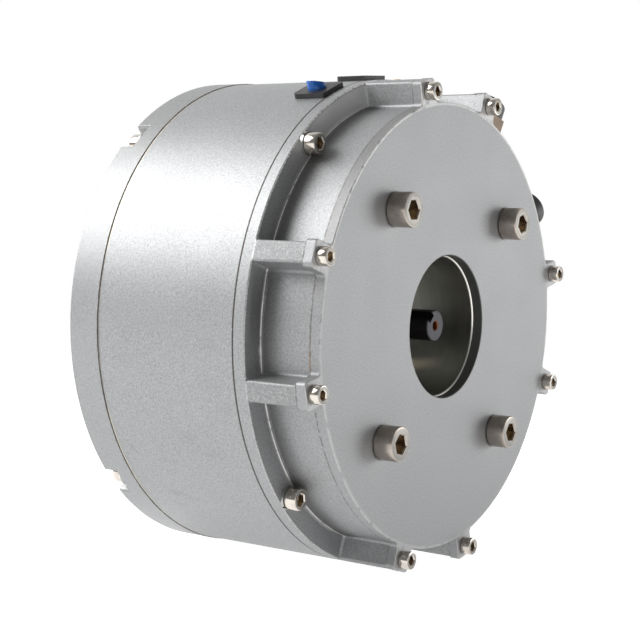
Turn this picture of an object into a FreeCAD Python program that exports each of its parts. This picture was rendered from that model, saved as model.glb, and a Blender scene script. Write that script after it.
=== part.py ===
# Axial flux motor: a cast front housing with a bolted plate, a painted housing tube and a rear cover
# hold two slotted stators, and a magnet rotor turns between them on a shaft in two ball bearings.
# The shaft axis lies along Y. The origin is on it, in the outer face of the front plate, and the
# motor reaches back along +Y. Angles are counted from +X towards +Z, in degrees. Lengths are in mm.
import FreeCAD
import Part
import math
import os

V = FreeCAD.Vector
ORIGIN = V(0, 0, 0)
AXIS = V(0, 1, 0)
OVER = 1.0                  # a cutting tool runs this far past a face
TINY = 0.01

# Outline of the casing
BODY_R = 117.4              # flange and housing tube
COVER_STEP = 0.4            # the rear cover stands out past the tube
RIB_RISE = 11.4             # flange rim past the rim of the plate
PLATE_T = 5.0
DRUM_STEP = 0.3             # the drum is this much smaller than the plate
DRUM_LEN = 26.5             # plate to flange
FLANGE_T = 6.1
FRONT_GASKET_T = 0.4
REAR_GASKET_T = 0.6
COVER_T = 17.3
HOUSING_WALL = 10.0
RIM_CHAMFER = 0.5
PLATE_CHAMFER = 0.3         # round the bore
PLATE_EDGE = 0.4            # chamfer along the plate's outline, in front

# Ring of twelve screws that closes the casing: eight in pairs, four on the diagonals
SCREW_EDGE = 5.4            # flange rim to the middle of the screws
EAR_OFFSET = 15.0           # ears and ribs stand this far each side of the X and Z axes
DIAGONALS = (45, 135, 225, 315)
EAR_W = 12.8
EAR_REACH = 0.2             # ears' tips past the flange rim
EAR_CORNER = 2.2
EAR_FILLET = 2.0
RIB_W = 9.8
RIB_EDGE = 1.2              # rounding along a rib's outer edges
RIB_FILLET = 1.6

# Screws: thread diameter, head diameter, head height, key width, length under the head
M5 = dict(d=5.0, head=8.5, height=5.0, key=4.0, length=22.0)
M6_FRONT = dict(d=6.0, head=10.0, height=6.0, key=5.0, length=22.0)
M6_REAR = dict(d=6.0, head=10.0, height=6.0, key=5.0, length=28.0)
M10 = dict(d=10.0, head=16.0, height=10.0, key=8.0, length=25.0)
HEAD_EDGE = 0.45            # chamfer round the top of a head
KEY_DEPTH_SHARE = 0.5       # depth of the key socket in its head
TAP_CLEARANCE = 0.05
TAP_EXTRA = 2.0             # a tapped hole is this much deeper than its screw
CLEAR_HOLE = 0.3            # radial clearance of a through hole
SPRING_WASHER_T = 1.6
SPRING_WASHER_R = 5.4
SPRING_WASHER_SLIT = 1.2
FLAT_WASHER_T = 1.2
FLAT_WASHER_R = 6.0

# Front face
MOUNT_CIRCLE_R = 74.0
PILOT_R = 34.0

# Cast front housing
CAVITY_R = 33.4
CAVITY_EDGE = 0.6
CAVITY_SINK = 3.0           # the cavity's floor behind the flange's front
TUBE_WALL = 7.0
CHAMBER_FLOOR = 1.5         # the chamber's back before the flange's front
CHAMBER_WALL = 8.0
BOSS_R = 10.5
WEB_T = 5.5
SPIGOT_WALL = 5.0
SPIGOT_LEN = 4.4
SPIGOT_CLEARANCE = 0.05
HUB_WALL = 7.5
HUB_END = 2.25              # hub beyond the bearing's circlip
SEAL_SEAT_WALL = 3.0
SEAL_SHOULDER = 1.5
SHAFT_PASSAGE = 1.0         # radial gap round the shaft in the cavity's floor
SPOT_FACE_CLEARANCE = 0.4

# Notches in the rim of the rear cover
NOTCH_DEPTH = 8.0
NOTCH_CLEARANCE = 1.2
NOTCH_LIP = 2.0

# Rear cover inside
COVER_SEAT_LIP = 2.2        # the cover's register reaches this far into the tube
REAR_HUB_LEN = 7.0
REAR_BEARING_INSET = 1.0
SHOULDER_T = 1.0
SENSOR_POCKET_R = 28.0
SENSOR_COVER_R = 36.0
SENSOR_COVER_T = 3.0
SENSOR_SCREW_R = 32.0
SENSOR_SCREW_HEAD_R = 3.0
SENSOR_SCREW_R_SHANK = 1.5
SENSOR_SCREW_KEY = 2.0
SENSOR_SCREW_LEN = 9.0
BOARD_T = 1.6
BOARD_R = 26.0

# Ball bearings, 20 x 47 x 14
BEARING_BORE_R = 10.0
BEARING_OUTER_R = 23.5
BEARING_W = 14.0
INNER_RING_R = 14.0
OUTER_RING_INNER_R = 19.5
SHIELD_T = 0.8
SHIELD_GAP = 0.3
BALL_COUNT = 8
BALL_R = 3.969
BALL_PLAY = 0.02
CAGE_T = 2.2
CAGE_W = 10.4
CAGE_PLAY = 0.1
CIRCLIP_T = 1.75
CIRCLIP_DEPTH = 1.1
CIRCLIP_W = 3.6
SPRING_T = 0.5
SPRING_RISE = 1.0
SPRING_INNER_R = 16.0

# Shaft seal, 20 x 35 x 7
SEAL_OUTER_R = 17.5
SEAL_T = 7.0
SEAL_WALL = 1.5
SEAL_BOTTOM = 2.0
SEAL_LIP_END = 5.0
SEAL_LIP_W = 1.0
SEAL_RUN = 0.05

# Shaft
SHAFT_SINK = 1.6            # the shaft's end behind the plate
JOURNAL_R = 7.5
JOURNAL_STEP = 1.0          # the journal's end before the cavity's floor
COLLAR_R = 16.0
ROTOR_SEAT_R = 12.5
NUT_LEN = 8.0
THREAD_RUNOUT = 1.0
NUT_R = 18.0
NUT_SLOT = 5.0
REAR_STEP_R = 12.0
SHAFT_KEY_W = 5.0
SHAFT_KEY_DEPTH = 3.0
SHAFT_KEY_LEN = 22.0
SHAFT_KEY_ANGLE = 140.0
SHAFT_TAP_R = 2.1
SHAFT_TAP_DEPTH = 14.0
SHAFT_TAP_SINK = 0.4
SHAFT_CHAMFER = 0.5
TAIL_R = 6.0
TAIL_LEN = 2.0
SENSOR_MAGNET_T = 3.0

# Stators and rotor
STATOR_INNER_R = 52.0
STATOR_ROOM = 6.35          # stators to the register's inner wall
BACK_IRON_T = 10.0
TOOTH_LEN = 18.0
TOOTH_COUNT = 12
SLOT_W = 17.0
COIL_SIDE = 7.8
COIL_GAP = 0.3
COIL_LEN = 16.0
COIL_CORNER = 5.0
AIR_GAP = 1.0
MAGNET_T = 5.0
MAGNET_COUNT = 10
MAGNET_ARC = 30.0
ROTOR_PLATE_T = 6.0
ROTOR_RIM = 2.0             # rotor disc past the stators
BAND_T = 3.0
ROTOR_HUB_R = 24.0
ROTOR_HOLES = 6
ROTOR_HOLE_R = 7.0
ROTOR_KEY_W = 8.0
ROTOR_KEY_H = 7.0
ROTOR_KEY_MARGIN = 2.0

# Ports on the far side of the drum
PORT_ANGLES = (30.0, 63.0)
PORT_BOSS_R = 12.9
PORT_BOSS_RISE = 2.6
PORT_SEAL_T = 1.5
PORT_SEAL_INSET = 1.0        # the seal ends this far inside the boss's edge
PORT_HEX = 22.0
PORT_HEX_H = 8.2
PORT_HEX_TURN = 10.0
PORT_THREAD_R = 8.0
PORT_NOSE = 7.0
PORT_BORE_R = 5.0
CAP_R = 10.35
CAP_TOP = 2.4
CAP_ROUND = 0.5

# Lead plates on the housing tube, their plugs and the studs below them
LEAD_ANGLES = (115.4, 97.7, 80.0)
LEAD_GAP_Y = 0.8            # flange joint to plate
LEAD_PLATE_LEN = 17.6
LEAD_PLATE_W = 17.2
LEAD_PLATE_T = 2.1
LEAD_PLATE_CORNER = 3.0
PLUG_R = 4.35
PLUG_RISE = 3.2
PLUG_STEM_R = 3.0
PLUG_EDGE = 0.3
STUD_R = 3.5
BUSH_R = 6.0
STUD_SINK = 1.0             # stud end below the lead plate
STUD_TAIL = 1.2             # stud beyond the tube's inner wall
BUSH_SINK = 0.2
STRAP_W = 7.0
STRAP_T = 1.2
STRAP_LEN = 10.0

# Chamber seals between drum and plate
CHAMBER_SEAL_W = 2.4
CHAMBER_SEAL_T = 1.8

# Radii that follow from the tube's
COVER_R = BODY_R + COVER_STEP
PLATE_R = BODY_R - RIB_RISE
EAR_TIP_R = BODY_R + EAR_REACH
SCREW_CIRCLE_R = BODY_R - SCREW_EDGE
DRUM_R = PLATE_R - DRUM_STEP
HOUSING_INNER_R = BODY_R - HOUSING_WALL
SPIGOT_R = HOUSING_INNER_R - SPIGOT_CLEARANCE
CHAMBER_INNER_R = CAVITY_R + TUBE_WALL
CHAMBER_OUTER_R = DRUM_R - CHAMBER_WALL
STATOR_OUTER_R = SPIGOT_R - SPIGOT_WALL - STATOR_ROOM
ROTOR_R = STATOR_OUTER_R + ROTOR_RIM

# Stations along the axis, from the plate back to the stators and the rotor between them
FLANGE_FRONT_Y = PLATE_T + DRUM_LEN
FLANGE_BACK_Y = FLANGE_FRONT_Y + FLANGE_T
HOUSING_FRONT_Y = FLANGE_BACK_Y + FRONT_GASKET_T
CHAMBER_BACK_Y = FLANGE_FRONT_Y - CHAMBER_FLOOR
CAVITY_FLOOR_Y = FLANGE_FRONT_Y + CAVITY_SINK
WEB_BACK_Y = CAVITY_FLOOR_Y + WEB_T
SHAFT_END_Y = PLATE_T + SHAFT_SINK
JOURNAL_END_Y = CAVITY_FLOOR_Y - JOURNAL_STEP

SEAL_Y = CAVITY_FLOOR_Y + SEAL_SEAT_WALL
FRONT_BEARING_Y = SEAL_Y + SEAL_T + SEAL_SHOULDER
CIRCLIP_Y = FRONT_BEARING_Y + BEARING_W
HUB_END_Y = CIRCLIP_Y + CIRCLIP_T + HUB_END
HUB_R = BEARING_OUTER_R + HUB_WALL

FRONT_TOOTH_Y = WEB_BACK_Y + BACK_IRON_T
FRONT_GAP_Y = FRONT_TOOTH_Y + TOOTH_LEN
ROTOR_FRONT_Y = FRONT_GAP_Y + AIR_GAP
ROTOR_T = ROTOR_PLATE_T + 2 * MAGNET_T
ROTOR_BACK_Y = ROTOR_FRONT_Y + ROTOR_T
REAR_GAP_Y = ROTOR_BACK_Y + AIR_GAP
REAR_TOOTH_Y = REAR_GAP_Y + TOOTH_LEN
REAR_SEAT_Y = REAR_TOOTH_Y + BACK_IRON_T
COIL_CLEAR = (TOOTH_LEN - COIL_LEN) / 2

COVER_SEAT_Y = REAR_SEAT_Y
COVER_FRONT_Y = COVER_SEAT_Y + COVER_SEAT_LIP
COVER_BACK_Y = COVER_FRONT_Y + COVER_T
HOUSING_BACK_Y = COVER_FRONT_Y - REAR_GASKET_T
REAR_HUB_Y = COVER_SEAT_Y - REAR_HUB_LEN
REAR_BEARING_Y = REAR_HUB_Y + REAR_BEARING_INSET
REAR_BEARING_END_Y = REAR_BEARING_Y + BEARING_W
SPRING_H = SPRING_T + SPRING_RISE
REAR_SHOULDER_Y = REAR_BEARING_END_Y + SPRING_H
SENSOR_POCKET_Y = REAR_SHOULDER_Y + SHOULDER_T
SENSOR_COVER_Y = COVER_BACK_Y - SENSOR_COVER_T

EAR_ANGLES = sorted((q + s * EAR_OFFSET) % 360 for q in (0, 90, 180, 270) for s in (-1, 1))
PORT_Y = PLATE_T + DRUM_LEN / 2
PORT_SEAT_R = DRUM_R + PORT_BOSS_RISE
LEAD_Y = FLANGE_BACK_Y + LEAD_GAP_Y
LEAD_MID_Y = LEAD_Y + LEAD_PLATE_LEN / 2


def turned(shape, degrees):
    """A copy turned about the shaft axis, so that what lies along +X comes to the given angle."""
    copy = shape.copy()
    copy.rotate(ORIGIN, V(0, -1, 0), degrees)
    return copy


def round_array(shape, angles):
    return [turned(shape, a) for a in angles]


def even_angles(count, first=0.0):
    return [first + i * 360.0 / count for i in range(count)]


def cylinder(radius, y0, y1, x=0.0, z=0.0):
    return Part.makeCylinder(radius, y1 - y0, V(x, y0, z), AXIS)


def ring(outer, inner, y0, y1):
    return cylinder(outer, y0, y1).cut(cylinder(inner, y0 - OVER, y1 + OVER))


def spoke(radius, r0, r1, y):
    """A round bar that points outwards along +X."""
    return Part.makeCylinder(radius, r1 - r0, V(r0, y, 0), V(1, 0, 0))


def block(x0, x1, y0, y1, width):
    return Part.makeBox(x1 - x0, y1 - y0, width, V(x0, y0, -width / 2))


def revolved(points):
    """A turned solid from an outline of (radius, y) points."""
    corners = [V(r, y, 0) for r, y in points]
    face = Part.Face(Part.makePolygon(corners + corners[:1]))
    return face.revolve(ORIGIN, AXIS, 360)


def hexagon(across_flats, height):
    """A hexagonal bar on the origin, along +Y."""
    reach = across_flats / math.sqrt(3)
    corners = [V(reach * math.cos(math.radians(60 * i)), 0, reach * math.sin(math.radians(60 * i)))
               for i in range(7)]
    return Part.Face(Part.makePolygon(corners)).extrude(V(0, height, 0))


def edges_where(shape, test):
    return [e for e in shape.Edges if test(e)]


def along_axis(edge):
    """True for a straight edge that runs parallel to the shaft."""
    if not isinstance(edge.Curve, Part.Line):
        return False
    return abs(edge.Curve.Direction.y) > 0.999


def middle(edge):
    first, last = edge.ParameterRange
    return edge.valueAt((first + last) / 2)


def radius_of(point):
    return math.hypot(point.x, point.z)


def sector(inner, outer, arc, y0, y1):
    """A wedge of a ring, its middle along +X."""
    half = math.radians(arc / 2)
    face = Part.Face(Part.Wire([
        Part.makeLine(V(inner * math.cos(half), y0, -inner * math.sin(half)),
                      V(outer * math.cos(half), y0, -outer * math.sin(half))),
        Part.Arc(V(outer * math.cos(half), y0, -outer * math.sin(half)), V(outer, y0, 0),
                 V(outer * math.cos(half), y0, outer * math.sin(half))).toShape(),
        Part.makeLine(V(outer * math.cos(half), y0, outer * math.sin(half)),
                      V(inner * math.cos(half), y0, inner * math.sin(half))),
        Part.Arc(V(inner * math.cos(half), y0, inner * math.sin(half)), V(inner, y0, 0),
                 V(inner * math.cos(half), y0, -inner * math.sin(half))).toShape()]))
    return face.extrude(V(0, y1 - y0, 0))


def save(name, shapes):
    """Write one node. Several shapes make a group of separate solids."""
    solids = [s for shape in shapes for s in shape.Solids]
    shape = solids[0] if len(solids) == 1 else Part.makeCompound(solids)
    shape.exportStep("parts/" + name + ".step")


# Screws and washers

def tap_r(screw):
    return screw["d"] / 2 + TAP_CLEARANCE


def clear_r(screw):
    return screw["d"] / 2 + CLEAR_HOLE


def cap_screw(screw):
    """A socket head screw along +Y, with its head's seat at the origin."""
    head_r = screw["head"] / 2
    height = screw["height"]
    body = revolved([(0, -height), (head_r - HEAD_EDGE, -height), (head_r, HEAD_EDGE - height),
                     (head_r, 0), (screw["d"] / 2, 0), (screw["d"] / 2, screw["length"]),
                     (0, screw["length"])])
    socket = hexagon(screw["key"], height * KEY_DEPTH_SHARE)
    socket.translate(V(0, -height, 0))
    return body.cut(socket)


def spring_washer():
    washer = ring(SPRING_WASHER_R, clear_r(M6_FRONT), 0, SPRING_WASHER_T)
    return washer.cut(block(0, SPRING_WASHER_R + OVER, -OVER, SPRING_WASHER_T + OVER, SPRING_WASHER_SLIT))


def flat_washer():
    return ring(FLAT_WASHER_R, clear_r(M6_REAR), 0, FLAT_WASHER_T)


def flipped(shape):
    """The same piece turned to point towards -Y."""
    copy = shape.copy()
    copy.rotate(ORIGIN, V(1, 0, 0), 180)
    return copy


def placed(shape, radius, y, angle):
    copy = shape.copy()
    copy.translate(V(radius, y, 0))
    return turned(copy, angle)


def placed_all(shape, radius, y, angles):
    return [placed(shape, radius, y, a) for a in angles]


def holes(radius, y0, y1, circle, angles):
    return [turned(cylinder(radius, y0, y1, circle), a) for a in angles]


def cut_all(shape, tools):
    return shape.cut(Part.makeCompound(tools)) if tools else shape


# Front plate: a disc with eight ears that lie on the ribs of the drum

def ear_outline(width, tip, corner, y0, y1):
    bar = block(PLATE_R - EAR_W, tip, y0, y1, width)
    outer = edges_where(bar, lambda e: along_axis(e) and middle(e).x > tip - TINY)
    return bar.makeFillet(corner, outer)


def front_plate():
    disc = cylinder(PLATE_R, 0, PLATE_T)
    ears = round_array(ear_outline(EAR_W, EAR_TIP_R, EAR_CORNER, 0, PLATE_T), EAR_ANGLES)
    plate = disc.fuse(ears).removeSplitter()
    roots = edges_where(plate, lambda e: along_axis(e) and abs(radius_of(middle(e)) - PLATE_R) < TINY)
    plate = plate.makeFillet(EAR_FILLET, roots)
    plate = plate.makeChamfer(PLATE_EDGE, edges_where(plate, lambda e: abs(middle(e).y) < TINY))
    plate = plate.cut(revolved([(0, -OVER), (PILOT_R + PLATE_CHAMFER + OVER, -OVER), (PILOT_R, PLATE_CHAMFER),
                                (PILOT_R, PLATE_T + OVER), (0, PLATE_T + OVER)]))
    tools = holes(clear_r(M5), -OVER, PLATE_T + OVER, SCREW_CIRCLE_R, EAR_ANGLES)
    tools += holes(clear_r(M10), -OVER, PLATE_T + OVER, MOUNT_CIRCLE_R, DIAGONALS)
    return cut_all(plate, tools)


# Front housing: one casting with flange, drum, ribs, central tube and bearing hub

def drum_shell():
    """Drum, flange and register, before the ribs."""
    return revolved([
        (CHAMBER_OUTER_R, PLATE_T), (DRUM_R, PLATE_T), (DRUM_R, FLANGE_FRONT_Y),
        (BODY_R - RIM_CHAMFER, FLANGE_FRONT_Y), (BODY_R, FLANGE_FRONT_Y + RIM_CHAMFER),
        (BODY_R, FLANGE_BACK_Y), (SPIGOT_R, FLANGE_BACK_Y), (SPIGOT_R, FLANGE_BACK_Y + SPIGOT_LEN),
        (SPIGOT_R - SPIGOT_WALL, FLANGE_BACK_Y + SPIGOT_LEN), (SPIGOT_R - SPIGOT_WALL, WEB_BACK_Y),
        (HUB_R, WEB_BACK_Y), (HUB_R, HUB_END_Y), (BEARING_OUTER_R, HUB_END_Y),
        (BEARING_OUTER_R, CIRCLIP_Y + CIRCLIP_T), (BEARING_OUTER_R + CIRCLIP_DEPTH, CIRCLIP_Y + CIRCLIP_T),
        (BEARING_OUTER_R + CIRCLIP_DEPTH, CIRCLIP_Y), (BEARING_OUTER_R, CIRCLIP_Y),
        (BEARING_OUTER_R, FRONT_BEARING_Y), (SEAL_OUTER_R + SEAL_SHOULDER, FRONT_BEARING_Y),
        (SEAL_OUTER_R + SEAL_SHOULDER, FRONT_BEARING_Y - SEAL_SHOULDER),
        (SEAL_OUTER_R, FRONT_BEARING_Y - SEAL_SHOULDER), (SEAL_OUTER_R, SEAL_Y),
        (BEARING_BORE_R + SHAFT_PASSAGE, SEAL_Y), (BEARING_BORE_R + SHAFT_PASSAGE, CAVITY_FLOOR_Y),
        (CAVITY_R, CAVITY_FLOOR_Y), (CAVITY_R, PLATE_T + CAVITY_EDGE), (CAVITY_R + CAVITY_EDGE, PLATE_T),
        (CHAMBER_INNER_R, PLATE_T), (CHAMBER_INNER_R, CHAMBER_BACK_Y), (CHAMBER_OUTER_R, CHAMBER_BACK_Y)])


def rib_edge_tool(side):
    """What rounding takes off one outer edge of the rib along +X."""
    z = RIB_W / 2 - RIB_EDGE
    x = math.sqrt((BODY_R - RIB_EDGE) ** 2 - z ** 2)
    top = BODY_R / (BODY_R - RIB_EDGE)
    out = (BODY_R + OVER) / (BODY_R - RIB_EDGE)
    side_z = RIB_W / 2 + OVER
    corners = [V(x, 0, z), V(x * top, 0, z * top), V(x * out, 0, z * out), V(x * out, 0, side_z),
               V(x, 0, side_z)]
    face = Part.Face(Part.makePolygon(corners + corners[:1]))
    tool = face.extrude(V(0, FLANGE_FRONT_Y, 0)).cut(cylinder(RIB_EDGE, -OVER, FLANGE_FRONT_Y + OVER, x, z))
    if side < 0:
        tool = tool.mirror(ORIGIN, V(0, 0, 1))
    return tool


def front_housing():
    shell = drum_shell()
    rib = block(DRUM_R - CHAMBER_WALL / 2, BODY_R, PLATE_T, FLANGE_FRONT_Y + FLANGE_T / 2, RIB_W)
    rib = rib.common(cylinder(BODY_R, PLATE_T, FLANGE_BACK_Y))
    casting = shell.fuse(round_array(rib, EAR_ANGLES)).removeSplitter()

    def in_pocket(edge):
        """Inside corners between drum, ribs and flange."""
        point = middle(edge)
        if not PLATE_T < point.y <= FLANGE_FRONT_Y + TINY:
            return False
        if along_axis(edge):
            return abs(radius_of(point) - DRUM_R) < TINY
        on_face = abs(point.y - FLANGE_FRONT_Y) < TINY
        return on_face and DRUM_R - TINY < radius_of(point) < BODY_R - 2 * RIM_CHAMFER

    casting = casting.makeFillet(RIB_FILLET, edges_where(casting, in_pocket))
    boss = cylinder(BOSS_R, PLATE_T, CHAMBER_BACK_Y + OVER, MOUNT_CIRCLE_R)
    ports = [turned(spoke(PORT_BOSS_R, CHAMBER_OUTER_R + OVER, PORT_SEAT_R, PORT_Y), a) for a in PORT_ANGLES]
    casting = casting.fuse(round_array(boss, DIAGONALS) + ports)
    seal_top = PLATE_T + CHAMBER_SEAL_T
    tools = holes(tap_r(M5), PLATE_T - OVER, M5["length"] + TAP_EXTRA, SCREW_CIRCLE_R, EAR_ANGLES)
    tools += holes(tap_r(M10), PLATE_T - OVER, M10["length"] + TAP_EXTRA, MOUNT_CIRCLE_R, DIAGONALS)
    tools += holes(clear_r(M6_FRONT), FLANGE_FRONT_Y - OVER, FLANGE_BACK_Y + OVER, SCREW_CIRCLE_R, DIAGONALS)
    tools += holes(SPRING_WASHER_R + SPOT_FACE_CLEARANCE, FLANGE_FRONT_Y - M6_FRONT["height"],
                   FLANGE_FRONT_Y, SCREW_CIRCLE_R, DIAGONALS)
    thread = spoke(PORT_THREAD_R + TAP_CLEARANCE, CHAMBER_OUTER_R - OVER, PORT_SEAT_R + OVER, PORT_Y)
    tools += round_array(thread, PORT_ANGLES)
    tools += [ring(r + CHAMBER_SEAL_W / 2, r - CHAMBER_SEAL_W / 2, PLATE_T - OVER, seal_top)
              for r in seal_middles()]
    for side in (-1, 1):
        tools += round_array(rib_edge_tool(side), EAR_ANGLES)
    return cut_all(casting, tools)


def seal_middles():
    return (CHAMBER_INNER_R - TUBE_WALL / 2, CHAMBER_OUTER_R + CHAMBER_WALL / 2)


def chamber_seal(radius):
    return ring(radius + CHAMBER_SEAL_W / 2, radius - CHAMBER_SEAL_W / 2, PLATE_T,
                PLATE_T + CHAMBER_SEAL_T)


# Housing tube and the gaskets at its ends

def gasket(y0, thickness, screw):
    flat = ring(BODY_R - RIM_CHAMFER / 2, HOUSING_INNER_R, y0, y0 + thickness)
    return cut_all(flat, holes(clear_r(screw), y0 - OVER, y0 + thickness + OVER, SCREW_CIRCLE_R, DIAGONALS))


def front_screw_tip_y():
    return FLANGE_FRONT_Y - SPRING_WASHER_T + M6_FRONT["length"]


def rear_screw_seat_y():
    return COVER_BACK_Y - NOTCH_DEPTH + FLAT_WASHER_T


def main_housing():
    tube = ring(BODY_R, HOUSING_INNER_R, HOUSING_FRONT_Y, HOUSING_BACK_Y)
    tools = holes(tap_r(M6_FRONT), HOUSING_FRONT_Y - OVER, front_screw_tip_y() + TAP_EXTRA,
                  SCREW_CIRCLE_R, DIAGONALS)
    tools += holes(tap_r(M6_REAR), rear_screw_seat_y() - M6_REAR["length"] - TAP_EXTRA,
                   HOUSING_BACK_Y + OVER, SCREW_CIRCLE_R, DIAGONALS)
    tools += round_array(spoke(BUSH_R, HOUSING_INNER_R - OVER, BODY_R + OVER, LEAD_MID_Y), LEAD_ANGLES)
    return cut_all(tube, tools)


# Rear cover: a turned disc with four rim notches, a bearing hub and a pocket for the sensor

def notch():
    """One notch, open to the rim and to the rear, its middle along +X."""
    reach = FLAT_WASHER_R + NOTCH_CLEARANCE
    y0 = COVER_BACK_Y - NOTCH_DEPTH
    y1 = COVER_BACK_Y + OVER
    slot = cylinder(reach, y0, y1, SCREW_CIRCLE_R)
    slot = slot.fuse(block(SCREW_CIRCLE_R, COVER_R + OVER, y0, y1, 2 * reach))
    mouth = block(COVER_R - NOTCH_LIP, COVER_R + OVER, y0, y1, 2 * (reach + NOTCH_LIP))
    lips = [cylinder(NOTCH_LIP, y0 - OVER, y1 + OVER, COVER_R - NOTCH_LIP, side * (reach + NOTCH_LIP))
            for side in (-1, 1)]
    return slot.fuse(cut_all(mouth, lips))


def rear_cover():
    cover = revolved([
        (SPIGOT_R, COVER_SEAT_Y), (SPIGOT_R, COVER_FRONT_Y), (COVER_R, COVER_FRONT_Y),
        (COVER_R, COVER_BACK_Y - RIM_CHAMFER), (COVER_R - RIM_CHAMFER, COVER_BACK_Y),
        (SENSOR_COVER_R, COVER_BACK_Y), (SENSOR_COVER_R, SENSOR_COVER_Y),
        (SENSOR_POCKET_R, SENSOR_COVER_Y), (SENSOR_POCKET_R, SENSOR_POCKET_Y),
        (BEARING_OUTER_R - 2 * SHOULDER_T, SENSOR_POCKET_Y),
        (BEARING_OUTER_R - 2 * SHOULDER_T, REAR_SHOULDER_Y),
        (BEARING_OUTER_R, REAR_SHOULDER_Y), (BEARING_OUTER_R, REAR_HUB_Y), (HUB_R, REAR_HUB_Y),
        (HUB_R, COVER_SEAT_Y)])
    tools = round_array(notch(), DIAGONALS)
    tools += holes(clear_r(M6_REAR), COVER_FRONT_Y - OVER, COVER_BACK_Y, SCREW_CIRCLE_R, DIAGONALS)
    tools += holes(SENSOR_SCREW_R_SHANK + TAP_CLEARANCE, SENSOR_COVER_Y - SENSOR_SCREW_LEN, COVER_BACK_Y,
                   SENSOR_SCREW_R, DIAGONALS)
    return cut_all(cover, tools)


# Sensor at the rear end of the shaft

def sensor_screw():
    """A countersunk screw, flush with the rear face."""
    sink = SENSOR_SCREW_HEAD_R - SENSOR_SCREW_R_SHANK
    body = revolved([(0, COVER_BACK_Y), (SENSOR_SCREW_HEAD_R, COVER_BACK_Y),
                     (SENSOR_SCREW_R_SHANK, COVER_BACK_Y - sink),
                     (SENSOR_SCREW_R_SHANK, COVER_BACK_Y - SENSOR_SCREW_LEN),
                     (0, COVER_BACK_Y - SENSOR_SCREW_LEN)])
    socket = hexagon(SENSOR_SCREW_KEY, sink)
    socket.translate(V(0, COVER_BACK_Y - sink, 0))
    return body.cut(socket)


def sensor_cover():
    sink = SENSOR_SCREW_HEAD_R - SENSOR_SCREW_R_SHANK
    lid = cylinder(SENSOR_COVER_R, SENSOR_COVER_Y, COVER_BACK_Y)
    cone = revolved([(0, COVER_BACK_Y + OVER), (SENSOR_SCREW_HEAD_R + OVER, COVER_BACK_Y + OVER),
                     (SENSOR_SCREW_R_SHANK, COVER_BACK_Y - sink),
                     (SENSOR_SCREW_R_SHANK, SENSOR_COVER_Y - OVER), (0, SENSOR_COVER_Y - OVER)])
    return cut_all(lid, placed_all(cone, SENSOR_SCREW_R, 0, DIAGONALS))


def sensor_board():
    return cylinder(BOARD_R, SENSOR_COVER_Y - BOARD_T, SENSOR_COVER_Y)


# Bearings, circlip, spring and seal

def ball_circle_r():
    return (INNER_RING_R + OUTER_RING_INNER_R) / 2


def raceway(y):
    """What the balls sweep: the groove that both rings share."""
    return Part.makeTorus(ball_circle_r(), BALL_R + BALL_PLAY, V(0, y + BEARING_W / 2, 0), AXIS)


def outer_ring(y):
    """Outer ring with its two pressed-in shields."""
    lip = INNER_RING_R + SHIELD_GAP
    end = y + BEARING_W
    body = revolved([(lip, y), (BEARING_OUTER_R, y), (BEARING_OUTER_R, end), (lip, end),
                     (lip, end - SHIELD_T), (OUTER_RING_INNER_R, end - SHIELD_T),
                     (OUTER_RING_INNER_R, y + SHIELD_T), (lip, y + SHIELD_T)])
    return body.cut(raceway(y))


def inner_ring(y):
    return ring(INNER_RING_R, BEARING_BORE_R, y, y + BEARING_W).cut(raceway(y))


def balls(y):
    ball = Part.makeSphere(BALL_R, V(ball_circle_r(), y + BEARING_W / 2, 0))
    return round_array(ball, even_angles(BALL_COUNT))


def cage(y):
    """Moulded cage with one round pocket a ball."""
    centre = ball_circle_r()
    middle_y = y + BEARING_W / 2
    body = ring(centre + CAGE_T / 2, centre - CAGE_T / 2, middle_y - CAGE_W / 2, middle_y + CAGE_W / 2)
    pocket = spoke(BALL_R + CAGE_PLAY, centre - CAGE_T, centre + CAGE_T, middle_y)
    return cut_all(body, round_array(pocket, even_angles(BALL_COUNT)))


def circlip():
    outer = BEARING_OUTER_R + CIRCLIP_DEPTH
    y1 = CIRCLIP_Y + CIRCLIP_T
    gap = block(0, outer + OVER, CIRCLIP_Y - OVER, y1 + OVER, 3 * CIRCLIP_W)
    return ring(outer, outer - CIRCLIP_W, CIRCLIP_Y, y1).cut(gap)


def preload_spring():
    inner = SPRING_INNER_R
    outer = BEARING_OUTER_R - TAP_CLEARANCE
    y = REAR_BEARING_END_Y
    return revolved([(inner, y + SPRING_RISE), (outer, y), (outer, y + SPRING_T),
                     (inner, y + SPRING_RISE + SPRING_T)])


def shaft_seal():
    """Shell that is pressed in, a bottom, and a lip on the shaft that opens towards the bearing."""
    lip = BEARING_BORE_R + SEAL_RUN
    wall = SEAL_OUTER_R - SEAL_WALL
    y1 = SEAL_Y + SEAL_T
    bottom = SEAL_Y + SEAL_BOTTOM
    lip_end = SEAL_Y + SEAL_LIP_END
    return revolved([(SEAL_OUTER_R, SEAL_Y), (SEAL_OUTER_R, y1), (wall, y1), (wall, bottom),
                     (lip + 2 * SEAL_LIP_W, bottom), (lip + SEAL_WALL, lip_end), (lip, lip_end),
                     (lip, lip_end - SEAL_LIP_W), (lip + SEAL_LIP_W / 2, SEAL_Y)])


# Shaft

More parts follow.
